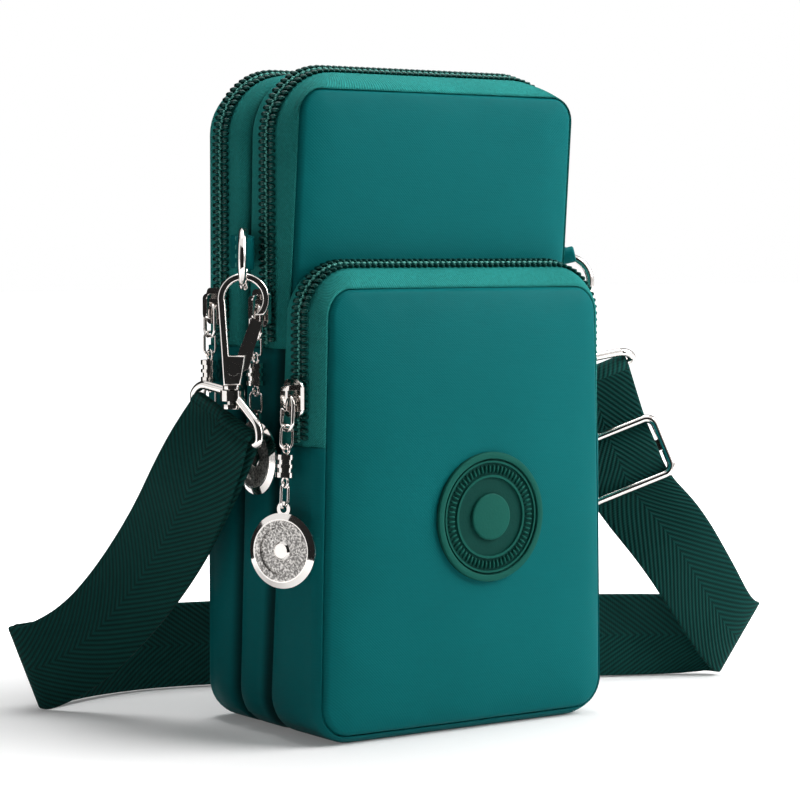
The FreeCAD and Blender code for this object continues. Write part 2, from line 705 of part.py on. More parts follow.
left_centre, left_line, _ = bars["left"]
left_edge = left_line * (strap_width / 2)
strap_route = [(left_centre - left_edge, left_centre + left_edge)]
for route, shift in ((left_route, left_side), (back_route, V()), (right_route, right_side)):
    strap_route.extend((a + shift, b + shift) for a, b in route)
strap_rows = row_frames(strap_route)
buckle_centre = right_side + buckle_beside
low_rail = buckle_centre - buckle_rise * buckle_half_length
high_rail = buckle_centre + buckle_rise * buckle_half_length
bar_edge = buckle_rise * (buckle_bar_width / 2 + clearance)
layer_step = strap_thickness + strap_play
for layer, sign, behind in (("inner", 1, layer_step), ("outer", -1, 0)):
    rows = []
    for i, (middle, width, out) in enumerate(strap_rows):
        lift = layer_lift if i else bar_lift
        rows.append((middle + out * (sign * lift), width, out))
    rows.append((low_rail + buckle_back * (wire_lift + behind), buckle_line * -1, buckle_back))
    if layer == "inner":
        short_end = buckle_centre - bar_edge + buckle_back * (behind - middle_lift)
        rows.append((short_end, buckle_line * -1, buckle_back))
        parts["strap_inner_layer"] = strip_solid(rows)
    else:
        parts["strap_outer_layer"] = strip_solid(rows).fuse(bar_wrap(bars["left"], strap_rows[0][2]))

# Single end: over the buckle's bar, round the right hook's loop and back on itself
right_centre, right_line, right_rise = bars["right"]
right_out = (right_line * -1).cross(right_rise).normalize()
strap_end = strip_solid([
    (low_rail + buckle_back * wire_lift, buckle_line * -1, buckle_back),
    (buckle_centre - bar_edge - buckle_back * middle_lift, buckle_line * -1, buckle_back),
    (buckle_centre + bar_edge - buckle_back * middle_lift, buckle_line * -1, buckle_back),
    (high_rail + buckle_back * wire_lift, buckle_line * -1, buckle_back),
    (right_centre - right_rise * bar_ease - right_out * bar_lift, right_line * -1, right_out),
    (right_centre - right_out * bar_lift, right_line * -1, right_out),
])
hem_line = right_line * (hem_share - 1) - buckle_line * hem_share
hem_out = (right_out * (1 - hem_share) + buckle_back * hem_share).normalize()
hem_middle = right_centre * (1 - hem_share) + high_rail * hem_share
hem = strip_solid([
    (right_centre + right_out * bar_lift, right_line * -1, right_out),
    (right_centre - right_rise * bar_ease + right_out * bar_lift, right_line * -1, right_out),
    (hem_middle + hem_out * (layer_step + bar_lift), hem_line.normalize(), hem_out),
])
parts["strap_end"] = strap_end.fuse([bar_wrap(bars["right"], right_out), hem])

# Buckle: wire frame with a flat bar across its middle
frame_corners = [V(-buckle_half_width, 0, -buckle_half_length), V(buckle_half_width, 0, -buckle_half_length),
                 V(buckle_half_width, 0, buckle_half_length), V(-buckle_half_width, 0, buckle_half_length)]
frame = wire_loop(frame_corners, [buckle_bend] * len(frame_corners), buckle_wire)
bar_half = buckle_half_width - buckle_wire / 2
bar = Part.makeBox(2 * bar_half, buckle_bar_thickness, buckle_bar_width,
                   V(-bar_half, -buckle_bar_thickness / 2, -buckle_bar_width / 2))
parts["buckle_frame"] = seat(frame, buckle_centre, buckle_line, buckle_rise)
parts["buckle_bar"] = seat(bar, buckle_centre, buckle_line, buckle_rise)

os.makedirs("parts", exist_ok=True)
for name, shape in parts.items():
    shape.exportStep("parts/" + name + ".step")
    if not shape.isValid() or shape.Volume <= 0:
        print("check", name, shape.isValid(), round(shape.Volume, 2))
print(len(parts), "parts")
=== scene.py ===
import math

import bmesh
import bpy
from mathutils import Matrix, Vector, noise


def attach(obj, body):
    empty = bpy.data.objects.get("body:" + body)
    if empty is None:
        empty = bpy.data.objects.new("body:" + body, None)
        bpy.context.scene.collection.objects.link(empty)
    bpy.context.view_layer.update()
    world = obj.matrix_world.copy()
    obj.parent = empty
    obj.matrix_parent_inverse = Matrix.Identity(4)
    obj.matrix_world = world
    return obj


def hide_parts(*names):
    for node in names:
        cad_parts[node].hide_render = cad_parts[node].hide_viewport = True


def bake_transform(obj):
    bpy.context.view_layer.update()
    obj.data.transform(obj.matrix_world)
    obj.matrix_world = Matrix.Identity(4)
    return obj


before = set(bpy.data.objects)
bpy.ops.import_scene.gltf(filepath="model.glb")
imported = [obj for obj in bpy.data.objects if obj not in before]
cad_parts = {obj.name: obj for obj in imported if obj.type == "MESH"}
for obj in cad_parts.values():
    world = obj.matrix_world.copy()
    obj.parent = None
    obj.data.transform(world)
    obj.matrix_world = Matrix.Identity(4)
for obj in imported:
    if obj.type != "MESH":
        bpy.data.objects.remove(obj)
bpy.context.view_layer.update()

# Back panel: satin nylon bonded to thin foam and a lining, cut to the pouch's outline. Its edge is
# turned under and sewn to the gusset and the zip tape.
mm = 0.001
pouch_half = 48.5
pouch_height = 180.0
foot_radius = 12.0
head_radius = 18.0
back_y = 29.5
main_fold = 133.2
fold_reach = 7.0


class Term:
    """One shader socket. Sums on it are written as Python expressions and add Math nodes."""

    def __init__(self, tree, socket):
        self.tree = tree
        self.socket = socket

    def node(self, kind, settings=None, sockets=None, out=0):
        """A new node, as the term of one of its outputs."""
        made = self.tree.nodes.new(kind)
        for name, value in (settings or {}).items():
            setattr(made, name, value)
        for key, value in (sockets or {}).items():
            if isinstance(value, Term):
                self.tree.links.new(value.socket, made.inputs[key])
            else:
                made.inputs[key].default_value = value
        return Term(self.tree, made.outputs[out])

    def sum(self, operation, *values):
        """One Math node on numbers or terms."""
        return self.node("ShaderNodeMath", {"operation": operation}, dict(enumerate(values)))

    def __add__(self, other):
        return self.sum("ADD", self, other)

    def __radd__(self, other):
        return self.sum("ADD", other, self)

    def __sub__(self, other):
        return self.sum("SUBTRACT", self, other)

    def __rsub__(self, other):
        return self.sum("SUBTRACT", other, self)

    def __mul__(self, other):
        return self.sum("MULTIPLY", self, other)

    def __rmul__(self, other):
        return self.sum("MULTIPLY", other, self)

    def __truediv__(self, other):
        return self.sum("DIVIDE", self, other)

    def __abs__(self):
        return self.sum("ABSOLUTE", self)

    def part(self, axis):
        """One coordinate of this vector."""
        return self.node("ShaderNodeSeparateXYZ", None, {0: self}, axis)

    def cloud(self, scale, detail=2.0, stretch=(1.0, 1.0, 1.0)):
        """Noise on this vector, from 0 to 1."""
        placed = self.node("ShaderNodeMapping", None, {"Vector": self, "Scale": stretch})
        return self.node("ShaderNodeTexNoise", None, {"Vector": placed, "Scale": scale, "Detail": detail})

    def ramp(self, start, end, low, high, kind="LINEAR"):
        """This value's place between start and end, as a value between low and high."""
        sockets = {0: self, 1: start, 2: end, 3: low, 4: high}
        return self.node("ShaderNodeMapRange", {"interpolation_type": kind}, sockets)

    def ridge(self):
        """Even ridges from 0 to 1, one for each whole step of this value."""
        return 1.0 - abs(self.sum("FRACT", self) - 0.5) * 2.0

    def dyed(self, dark, light):
        """A colour between two, by this value."""
        sockets = {0: self, 6: (*dark, 1.0), 7: (*light, 1.0)}
        return self.node("ShaderNodeMix", {"data_type": "RGBA"}, sockets, 2)


def begin(name):
    """A new material, with its object coordinates and its UV map as terms."""
    material = bpy.data.materials.new(name)
    material.use_nodes = True
    tree = material.node_tree
    tree.nodes.clear()
    coords = tree.nodes.new("ShaderNodeTexCoord")
    return material, Term(tree, coords.outputs["Object"]), Term(tree, coords.outputs["UV"])


def surface(material, base, rough, bump=None, height=0.0001, metal=0.0, **fixed):
    """Ends a material: what varies goes to the baked sockets, and plain numbers stay on the shader."""
    tree = material.node_tree
    shader = tree.nodes.new("ShaderNodeBsdfPrincipled")
    end = tree.nodes.new("ShaderNodeOutputMaterial")
    tree.links.new(shader.outputs[0], end.inputs[0])
    for key, value in (("Base Color", base), ("Roughness", rough), ("Metallic", metal)):
        if isinstance(value, Term):
            tree.links.new(value.socket, shader.inputs[key])
        else:
            shader.inputs[key].default_value = value
    for key, value in fixed.items():
        shader.inputs[key.replace("_", " ")].default_value = value
    if bump is not None:
        sockets = {"Height": bump, "Distance": height, "Strength": 1.0}
        made = bump.node("ShaderNodeBump", None, sockets)
        tree.links.new(made.socket, shader.inputs["Normal"])


weft_scale = (260.0, 260.0, 2600.0)
warp_scale = (2400.0, 2400.0, 300.0)
nylon, place, _ = begin("satin nylon")
weft = place.cloud(1.0, 2.0, weft_scale)
warp = place.cloud(1.0, 1.0, warp_scale)
shade = place.cloud(28.0, 3.0)
slant = ((place.part(0) + place.part(1) + place.part(2)) * 1300.0).ridge()
nylon_tone = shade * 0.5 + weft * 0.3 + slant * 0.2
nylon_base = nylon_tone.dyed((0.0009, 0.095, 0.098), (0.0022, 0.143, 0.149))
surface(nylon, nylon_base, 0.42 + 0.2 * weft, weft * 0.5 + warp * 0.2 + slant * 0.3, 0.00007,
        Specular_IOR_Level=0.04)

# Counts of points along the outline: level runs, corners, and the sides below and above the zip's end
flat_count = 26
turn_count = 10
low_count = 30
high_count = 36


def outline(height, top_radius, end, insets=None, deeper=0.0):
    """Rounded outline as points. Insets: sides, head, foot, the head's corner, the draw at the head."""
    side_in, top_in, foot_in, corner, draw = insets or (0.0, 0.0, 0.0, top_radius, 0.0)
    least = 2.0
    corner_share = 0.85
    end_share = 0.7
    low = max(foot_radius - (side_in + foot_in) - deeper * corner_share, least)
    high = max(corner - deeper * corner_share, least)
    side_in += deeper
    top_in += deeper * end_share
    foot_in += deeper * end_share
    half = pouch_half - side_in
    top = height - top_in
    points = []

    def line(x0, z0, x1, z1, count):
        points.extend((x0 + (x1 - x0) * i / count, z0 + (z1 - z0) * i / count) for i in range(count))

    def arc(x, z, radius, start):
        for i in range(turn_count):
            angle = math.radians(start + 90 * i / turn_count)
            points.append((x + radius * math.cos(angle), z + radius * math.sin(angle)))

    line(low - half, foot_in, half - low, foot_in, flat_count)
    arc(half - low, foot_in + low, low, -90)
    line(half, foot_in + low, half, end, low_count)
    line(half, end, half, top - high, high_count)
    arc(half - high, top - high, high, 0)
    line(half - high, top, high - half, top, flat_count)
    arc(high - half, top - high, high, 90)
    line(-half, top - high, -half, end, high_count)
    line(-half, end, -half, foot_in + low, low_count)
    arc(low - half, foot_in + low, low, 180)
    return [(x * (1 - draw / pouch_half * z / height), z) for x, z in points]


def mesh_piece(name, points, faces, material):
    """Smooth object at the origin from points in millimetres."""
    mesh = bpy.data.meshes.new(name)
    mesh.from_pydata([[c * mm for c in p] for p in points], [], faces)
    mesh.materials.append(material)
    mesh.update()
    mesh.polygons.foreach_set("use_smooth", [True] * len(mesh.polygons))
    piece = bpy.data.objects.new(name, mesh)
    bpy.context.scene.collection.objects.link(piece)
    return piece


def thicken(piece, thickness):
    """Gives a skin its thickness on the inner side."""
    solid = piece.modifiers.new("cloth", "SOLIDIFY")
    solid.thickness = thickness * mm
    solid.offset = -1.0
    return piece


panel_steps = (0.0, 0.3, 0.6, 1.0, 1.5, 2.2, 3.2, 4.6, 6.5, 9.0, 12.0, 16.0, 21.0, 26.0, 31.0, 36.0,
               40.0, 42.5)
laminate_thickness = 1.5


def panel(name, height, top_radius, end, insets, face, out, crown, seed):
    """Sewn panel from its seam inward: a lip turned under at the seam and a softly crowned middle."""
    lip_width = 1.6
    lip_depth = 1.9
    puff = 1.3 if crown else 0.0
    puff_width = 4.5
    wave_height = 0.5
    wave_scale = 0.03
    pucker_height = 0.3
    pucker_scale = 0.16
    middle = height / 2
    points = []
    faces = []
    for step in panel_steps:
        lip = lip_depth * (1 - step / lip_width) ** 2 if step < lip_width else 0.0
        fade = math.exp(-abs(step - 3.0) / 5)
        for x, z in outline(height, top_radius, end, insets, step):
            dome = (1 - abs(x / pouch_half) ** 2.4) * (1 - abs((z - middle) / middle) ** 3.0)
            rise = crown * max(dome, 0.0) ** 0.8 + puff * (1 - math.exp(-step / puff_width))
            wave = noise.noise(Vector((x * wave_scale, z * wave_scale, seed))) * wave_height
            gather = noise.noise(Vector((x * pucker_scale, z * pucker_scale, seed + 5)))
            pucker = gather * pucker_height * fade
            soft = (wave + pucker) * min(step / 5.0, 1.0)
            points.append((x, face(z) + out * (rise + soft - lip), z))
    count = 2 * (flat_count + low_count + high_count) + 4 * turn_count
    for ring in range(len(panel_steps) - 1):
        for i in range(count):
            a = ring * count + i
            b = ring * count + (i + 1) % count
            faces.append((a, b, b + count, a + count))
    last = (len(panel_steps) - 1) * count
    side = low_count + high_count
    right = [last + flat_count + turn_count + i for i in range(side + 1)]
    left = [last + 2 * flat_count + 3 * turn_count + side + i for i in range(side + 1)][::-1]
    for i in range(side):
        faces.append((left[i], right[i], right[i + 1], left[i + 1]))
    foot = list(range(flat_count + turn_count + 1)) + list(range(count - turn_count, count))
    head_start = flat_count + turn_count + side
    head = range(head_start, head_start + flat_count + 2 * turn_count + 1)
    faces.append([last + i for i in foot])
    faces.append([last + i for i in head])
    if out > 0:
        faces = [tuple(reversed(f)) for f in faces]
    return thicken(mesh_piece(name, points, faces, nylon), laminate_thickness)


def fold(piece, flap, line_y, line_z):
    """Bakes the piece's placement into its mesh and returns it."""
    start = Vector((0, line_y, line_z - fold_reach)) * mm
    end = Vector((0, line_y, line_z + fold_reach)) * mm
    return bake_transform(piece)


main_zip_end = 105.0
back_insets = (2.6, 4.5, 2.0, 12.0, 0.0)


def back_face(z):
    """The back is upright: its Y is the same at every height."""
    return back_y


back_panel = panel("back_panel", pouch_height, head_radius, main_zip_end, back_insets, back_face,
                   out=1, crown=1.0, seed=1.0)
fold(back_panel, "rear_flap", back_y, main_fold)
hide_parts("back_panel_lower", "back_panel_upper")

# Main front panel: the same laminate of nylon, foam and lining, leaning forward towards its head. It
# closes the middle compartment and is sewn at its edge like the back, and the pocket is sewn over its
# lower part.
main_insets = (2.0, 5.6, 2.0, 7.0, 0.6)


def main_face(z):
    """Y of the main front, which leans forward with height."""
    return -2.6 - 0.084 * z


main_panel = panel("main_front", pouch_height, head_radius, main_zip_end, main_insets, main_face,
                   out=-1, crown=2.0, seed=7.0)
fold(main_panel, "middle_flap", main_face(main_fold), main_fold)
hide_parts("main_front_lower", "main_front_upper")

# Pocket front: a shorter and fuller panel of the same laminate, sewn to the pocket's gusset and its
# outer zip tape. It carries the badge.
pocket_height = 127.5
pocket_head_radius = 14.0
pocket_zip_end = 79.5
pocket_fold = 99.0
pocket_fold_y = -31.9
pocket_insets = (0.9, 6.2, 2.2, 7.5, 3.0)


def pocket_face(z):
    """The pocket's front is upright, like the back."""
    return -28.9


pocket_panel = panel("pocket_front", pocket_height, pocket_head_radius, pocket_zip_end, pocket_insets,
                     pocket_face, out=-1, crown=3.6, seed=12.0)
fold(pocket_panel, "pocket_flap", pocket_fold_y, pocket_fold)
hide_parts("pocket_front_lower", "pocket_front_upper")

# Divider: one sheet of nylon, shared by the rear and the middle compartment. It is cut a little smaller
# than the pouch's outline and caught in the seams between the two gussets and the two inner zip tapes.
divider_insets = (2.2, 2.2, 2.2, 15.8, 0.0)


def divider_y(z):
    """Y of the divider, which leans forward a little."""
    return 12.0 - 7.0 * z / pouch_height


divider = panel("divider", pouch_height, head_radius, main_zip_end, divider_insets, divider_y,
                out=-1, crown=0.0, seed=3.0)
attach(divider, "pouch")
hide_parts("divider_panel")

# Gussets: plain nylon bands that go down one side, under the pouch and up the other, one for each
# compartment. They swell between the groove and the panel, and turn over the panel's edge to its seam.
# Shade is painted into the cloth's colour in the two creases where the bands meet, over the divider and the
# main front.
gusset_thickness = 0.8
gusset_depth = 3.4
divider_crease = (0.012, 0.0389)
main_crease = (-0.0022, 0.084)


def from_crease(place, foot_y, lean):
    """Distance along Y from a crease that leans forward."""
    return abs(place.part(1) - foot_y + place.part(2) * lean)


painted_crease_nylon, place, _ = begin("nylon with painted crease shade")
weft = place.cloud(1.0, 2.0, weft_scale)
shade = place.cloud(28.0, 3.0)
rear_crease = from_crease(place, *divider_crease)
front_crease = from_crease(place, *main_crease)
near = rear_crease.sum("MINIMUM", rear_crease, front_crease)
# Painted shade: the colour darkens to near black within a few millimetres of each crease, and the tone below
# carries it.
clear_of_painted_shade = near.ramp(0.0004, 0.0034, 0.0, 0.75, "SMOOTHSTEP")
tone = clear_of_painted_shade + (shade * 0.6 + weft * 0.4) * 0.25
painted_crease_base = tone.dyed((0.0002, 0.012, 0.013), (0.0018, 0.122, 0.127))
surface(painted_crease_nylon, painted_crease_base, 0.42 + 0.2 * weft, weft, 0.00006, Specular_IOR_Level=0.04)

rear_zip_y = 19.0
middle_zip_y = -5.0
pocket_zip_y = -21.0
walls = {
    "rear": (pouch_height, head_radius, main_zip_end, back_insets, back_face, 1, rear_zip_y),
    "middle": (pouch_height, head_radius, main_zip_end, main_insets, main_face, -1, middle_zip_y),
    "pocket": (pocket_height, pocket_head_radius, pocket_zip_end, pocket_insets, pocket_face, -1,
               pocket_zip_y),
}
grooves = {
    "rear": lambda z: divider_y(z) + 0.4,
    "middle": lambda z: divider_y(z) - 0.4,
    "pocket": lambda z: main_face(z) + 0.3,
}


def walk(name, over):
    """Outer and seam points of a compartment: over the top between the zip's ends, or under the base."""
    height, top_radius, end, insets, _, _, _ = walls[name]
    outer = outline(height, top_radius, end)
    seam = outline(height, top_radius, end, insets)
    right_end = flat_count + turn_count + low_count
    left_end = 2 * flat_count + 3 * turn_count + low_count + 2 * high_count
    if over:
        picked = list(range(right_end, left_end + 1))
    else:
        picked = list(range(left_end, len(outer))) + list(range(right_end + 1))
    picked.reverse()
    rows = []
    for k, i in enumerate(picked):
        before = outer[picked[max(k - 1, 0)]]
        after = outer[picked[min(k + 1, len(picked) - 1)]]
        normal = Vector((before[1] - after[1], after[0] - before[0])).normalized()
        rows.append((Vector(outer[i]), Vector(seam[i]), normal))
    return rows


def band(name, rows, section, out, material):
    """Strip through the cross-sections at each row, its faces outward; UV in metres across and along."""
    count = len(section(*rows[0]))
    points = []
    for row in rows:
        points.extend(section(*row) if out > 0 else section(*row)[::-1])
    faces = []
    for i in range(len(rows) - 1):
        for j in range(count - 1):
            a = i * count + j
            faces.append((a, a + count, a + count + 1, a + 1))
    piece = mesh_piece(name, points, faces, material)
    layer = piece.data.uv_layers.new(name="UVMap")
    along = [0.0]
    across = [0.0]
    for (before, _, _), (after, _, _) in zip(rows, rows[1:]):
        along.append(along[-1] + (after - before).length)
    for before, after in zip(points[:count], points[1:count]):
        across.append(across[-1] + (Vector(after) - Vector(before)).length)
    for loop in piece.data.loops:
        i, j = divmod(loop.vertex_index, count)
        layer.data[loop.index].uv = (across[j] * mm, along[i] * mm)
    return piece


def turned_edge(outer, seam, face, out, depth):
    """Points that turn from the side of the pouch over a panel's edge and tuck in at its seam."""
    steps = 8
    roundness = 0.45
    tuck_in = 0.25
    tuck_depth = 2.1
    points = []
    for k in range(1, steps + 1):
        level = 1 - k / steps
        angle = math.pi / 2 * level
        reach = roundness * math.sin(angle) + (1 - roundness) * level
        back = roundness * (1 - math.cos(angle)) + (1 - roundness) * level
        spot = seam + (outer - seam) * reach
        points.append((spot.x, face(spot.y) - out * depth * back, spot.y))
    inside = seam + (seam - outer).normalized() * tuck_in
    points.append((inside.x, face(inside.y) - out * tuck_depth, inside.y))
    return points


def flat_run(outer, normal, start, end, lift, steps=12, bias=1.0):
    """Points straight across the side between two y, moved out by a profile. Bias crowds the start."""
    under = 0.0 if normal.y < -0.6 else 1.0
    points = []
    for k in range(steps + 1):
        t = (k / steps) ** bias
        raised = lift(t)
        spot = outer + normal * (raised if raised < 0 else raised * under)
        points.append((spot.x, start + (end - start) * t, spot.y))
    return points


def gusset_lift(t):
    """A gusset rolls in at its groove and is full in the middle."""
    swell = 0.9
    roll_share = 0.26
    roll_depth = 3.6
    roll = max(0.0, 1 - t / roll_share)
    return swell * math.sin(math.pi * min(t * 1.1, 1.0)) - roll_depth * (1 - math.sqrt(1 - roll * roll))


for name, (_, _, _, _, face, out, _) in walls.items():
    groove = grooves[name]

    def section(outer, seam, normal):
        end = face(outer.y) - out * gusset_depth
        run = flat_run(outer, normal, groove(outer.y), end, gusset_lift, steps=18, bias=1.8)
        return run + turned_edge(outer, seam, face, out, gusset_depth)

    piece = band(name + "_gusset", walk(name, False), section, out, painted_crease_nylon)
    thicken(piece, gusset_thickness)
    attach(piece, "pouch")
    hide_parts(name + "_gusset")

# Zip tapes: woven twill, lighter than the nylon. The outer ones turn over the panels' edges to their
# seams, and the inner tapes of the two main zips meet over the divider in a crease, where shade is painted
# into the tape's colour.
twill, place, weave = begin("twill tape")
across = weave.part(0)
along = weave.part(1)
ridge = ((across + along) * 1500.0).ridge()
tone = place.cloud(60.0, 2.0)
grain = place.cloud(1300.0, 2.0)
# Painted shade: the tape's colour darkens in the crease over the divider, and weft below carries it with the
# weave's tone.
clear_of_painted_shade = from_crease(place, *divider_crease).ramp(0.0003, 0.0022, 0.1, 1.0, "SMOOTHSTEP")
weft = (ridge * 0.35 + grain * 0.4 + tone * 0.25) * clear_of_painted_shade
surface(twill, weft.dyed((0.0030, 0.070, 0.063), (0.0280, 0.370, 0.340)), 0.62 + 0.2 * ridge,
        ridge * 0.4 + grain * 0.6, 0.0003, Specular_IOR_Level=0.08)
folds = {
    "rear": ("rear_flap", back_y, main_fold),
    "middle": ("middle_flap", main_face(main_fold), main_fold),
    "pocket": ("pocket_flap", pocket_fold_y, pocket_fold),
}
tape_thickness = 0.6
chain_gap = 0.25
tape_sink = 0.1
top_tilt = 0.6


def groove_lift(t):
    """An inner tape runs level beside the chain and then dips into the groove."""
    level_share = 0.7
    dip_share = 0.3
    dip = 2.6
    return -tape_sink - dip * max(0.0, (t - level_share) / dip_share) ** 2


for name, (_, _, _, _, face, out, zip_y) in walls.items():
    groove = grooves[name]

    def moving_section(outer, seam, normal):
        start = zip_y + out * chain_gap
        depth = min(9.0, abs(face(outer.y) - start) - 2.6)
        sink = tape_sink - out * top_tilt * max(normal.y, 0.0)
        run = flat_run(outer, normal, start, face(outer.y) - out * depth, lambda t: -sink, steps=4)
        return run + turned_edge(outer - normal * sink, seam, face, out, depth)

    def fixed_section(outer, seam, normal):
        tilt = -out * top_tilt * max(normal.y, 0.0)
        end = zip_y - out * chain_gap
        return flat_run(outer, normal, groove(outer.y), end, lambda t: groove_lift(1 - t) + tilt * t)

    moving = band(name + "_tape_moving", walk(name, True), moving_section, out, twill)
    fixed = band(name + "_tape_fixed", walk(name, True), fixed_section, out, twill)
    for piece, kind in ((moving, "moving"), (fixed, "fixed")):
        thicken(piece, tape_thickness)
        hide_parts(name + "_zip_tape_" + kind)
    fold(moving, *folds[name])
    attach(fixed, "pouch")

# Zip chains: two rows of dyed coil teeth that mesh in the middle, each held to its tape by a line of
# paler thread that shows as a dot on every tooth.
tooth_pitch = 1.85
tooth_size = (1.75, 4.6, 1.7)
dot_size = (1.2, 1.3, 1.0)
tooth_beside = 2.15
dot_beside = 0.3
tooth_rise = 0.35
dot_rise = tooth_rise * 1.3
end_gap = 1.6

coil_finish, place, _ = begin("dyed coil")
tone = place.cloud(300.0, 2.0)
coil_base = tone.dyed((0.0005, 0.012, 0.011), (0.0018, 0.042, 0.037))
surface(coil_finish, coil_base, 0.22 + 0.10 * tone, tone, 0.00002, Specular_Tint=(0.12, 0.75, 0.62, 1.0))
thread_finish, place, _ = begin("pale thread")
tone = place.cloud(900.0, 2.0)
surface(thread_finish, tone.dyed((0.025, 0.200, 0.165), (0.110, 0.480, 0.410)), 0.6, tone, 0.00005)


def side_path(height, top_radius, end, step):
    """Points along the outline over the top, evenly spaced, with their outward normals."""
    straight = height - top_radius - end
    turn = top_radius * math.pi / 2
    flat = 2 * (pouch_half - top_radius)
    level = height - top_radius
    total = 2 * straight + 2 * turn + flat
    count = int(total / step)
    path = []
    for i in range(count + 1):
        s = total * i / count
        if s < straight:
            path.append((-pouch_half, end + s, -1.0, 0.0))
        elif s < straight + turn:
            angle = (s - straight) / top_radius
            nx, nz = -math.cos(angle), math.sin(angle)
            path.append((top_radius - pouch_half + top_radius * nx, level + top_radius * nz, nx, nz))
        elif s < straight + turn + flat:
            path.append((top_radius - pouch_half + (s - straight - turn), height, 0.0, 1.0))
        elif s < straight + 2 * turn + flat:
            angle = (s - straight - turn - flat) / top_radius
            nx, nz = math.sin(angle), math.cos(angle)
            path.append((pouch_half - top_radius + top_radius * nx, level + top_radius * nz, nx, nz))
        else:
            path.append((pouch_half, level - (s - straight - 2 * turn - flat), 1.0, 0.0))
    return path


def bar_tree():
    """Geometry tree that sets rounded bars along a line of edges."""
    tree = bpy.data.node_groups.new("bars along a line", "GeometryNodeTree")
    tree.interface.new_socket("Geometry", in_out="INPUT", socket_type="NodeSocketGeometry")
    for name in ("Pitch", "Along", "Across", "Height"):
        tree.interface.new_socket(name, in_out="INPUT", socket_type="NodeSocketFloat")
    tree.interface.new_socket("Side", in_out="INPUT", socket_type="NodeSocketVector")
    tree.interface.new_socket("Finish", in_out="INPUT", socket_type="NodeSocketMaterial")
    tree.interface.new_socket("Geometry", in_out="OUTPUT", socket_type="NodeSocketGeometry")
    kinds = {
        "in": "NodeGroupInput", "out": "NodeGroupOutput", "line": "GeometryNodeMeshToCurve",
        "spots": "GeometryNodeCurveToPoints", "cube": "GeometryNodeMeshCube",
        "soft": "GeometryNodeSubdivisionSurface", "size": "ShaderNodeCombineXYZ",
        "turn": "FunctionNodeAxesToRotation", "set": "GeometryNodeInstanceOnPoints",
        "real": "GeometryNodeRealizeInstances", "dye": "GeometryNodeSetMaterial",
        "smooth": "GeometryNodeSetShadeSmooth",
    }
    made = {key: tree.nodes.new(kind) for key, kind in kinds.items()}
    made["spots"].mode = "LENGTH"
    made["turn"].primary_axis = "X"
    made["turn"].secondary_axis = "Y"
    made["soft"].inputs["Level"].default_value = 1
    links = (("in", "Geometry", "line", "Mesh"), ("line", "Curve", "spots", "Curve"),
             ("in", "Pitch", "spots", "Length"),
             ("in", "Along", "size", "X"), ("in", "Across", "size", "Y"), ("in", "Height", "size", "Z"),
             ("size", "Vector", "cube", "Size"), ("cube", "Mesh", "soft", "Mesh"),
             ("spots", "Tangent", "turn", "Primary Axis"), ("in", "Side", "turn", "Secondary Axis"),
             ("spots", "Points", "set", "Points"), ("soft", "Mesh", "set", "Instance"),
             ("turn", "Rotation", "set", "Rotation"), ("set", "Instances", "real", "Geometry"),
             ("real", "Geometry", "smooth", "Geometry"), ("smooth", "Geometry", "dye", "Geometry"),
             ("in", "Finish", "dye", "Material"), ("dye", "Geometry", "out", "Geometry"))
    for source, outlet, target, inlet in links:
        tree.links.new(made[source].outputs[outlet], made[target].inputs[inlet])
    return tree


bars = bar_tree()


def bars_along(name, points, pitch, size, finish, side=(0.0, 1.0, 0.0)):
    """Rounded bars at a pitch along points in millimetres, as a plain mesh."""
    line = bpy.data.meshes.new(name + "_line")
    edges = [(i, i + 1) for i in range(len(points) - 1)]
    line.from_pydata([[c * mm for c in p] for p in points], edges, [])
    guide = bpy.data.objects.new(name + "_line", line)
    bpy.context.scene.collection.objects.link(guide)
    modifier = guide.modifiers.new("bars", "NODES")
    modifier.node_group = bars
    values = {"Pitch": pitch * mm, "Along": size[0] * mm, "Across": size[1] * mm, "Height": size[2] * mm,
              "Side": side, "Finish": finish}
    for item in bars.interface.items_tree:
        if item.in_out == "INPUT" and item.name in values:
            modifier[item.identifier] = values[item.name]
    graph = bpy.context.evaluated_depsgraph_get()
    mesh = bpy.data.meshes.new_from_object(guide.evaluated_get(graph), depsgraph=graph)
    bpy.data.objects.remove(guide)
    piece = bpy.data.objects.new(name, mesh)
    bpy.context.scene.collection.objects.link(piece)
    return piece


def joined(name, pieces):
    """One object from several."""
    with bpy.context.temp_override(active_object=pieces[0], selected_editable_objects=pieces):
        bpy.ops.object.join()
    pieces[0].name = name
    pieces[0].data.name = name
    return pieces[0]


for name, (height, top_radius, end, _, _, out, zip_y) in walls.items():
    for kind, way in (("moving", out), ("fixed", -out)):
        start = end + end_gap + (tooth_pitch / 2 if way < 0 else 0)
        path = side_path(height, top_radius, start, 1.0)
        lift = tooth_rise + way * top_tilt
        teeth = []
        dots = []
        for x, z, nx, nz in path:
            teeth.append((x + nx * tooth_rise, zip_y + way * tooth_beside, z + nz * lift))
            dots.append((x + nx * dot_rise, zip_y + way * dot_beside, z + nz * dot_rise))
        row = bars_along(name + "_teeth", teeth, tooth_pitch, tooth_size, coil_finish)
        dot = bars_along(name + "_dots", dots, tooth_pitch, dot_size, thread_finish)
        chain = joined(name + "_coil_" + kind, [row, dot])
        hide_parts(name + "_zip_coil_" + kind)
        if kind == "moving":
            fold(chain, *folds[name])
        else:
            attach(chain, "pouch")

# Badge: moulded matte rubber, sewn on the pocket. It has a raised rim, two fine rings with a circle of
# ticks between them, and a plain raised centre. Its recesses are painted darker as shade, and what stands
# proud is lighter.
badge_x = 4.2
badge_z = 59.0
badge_y = -32.9

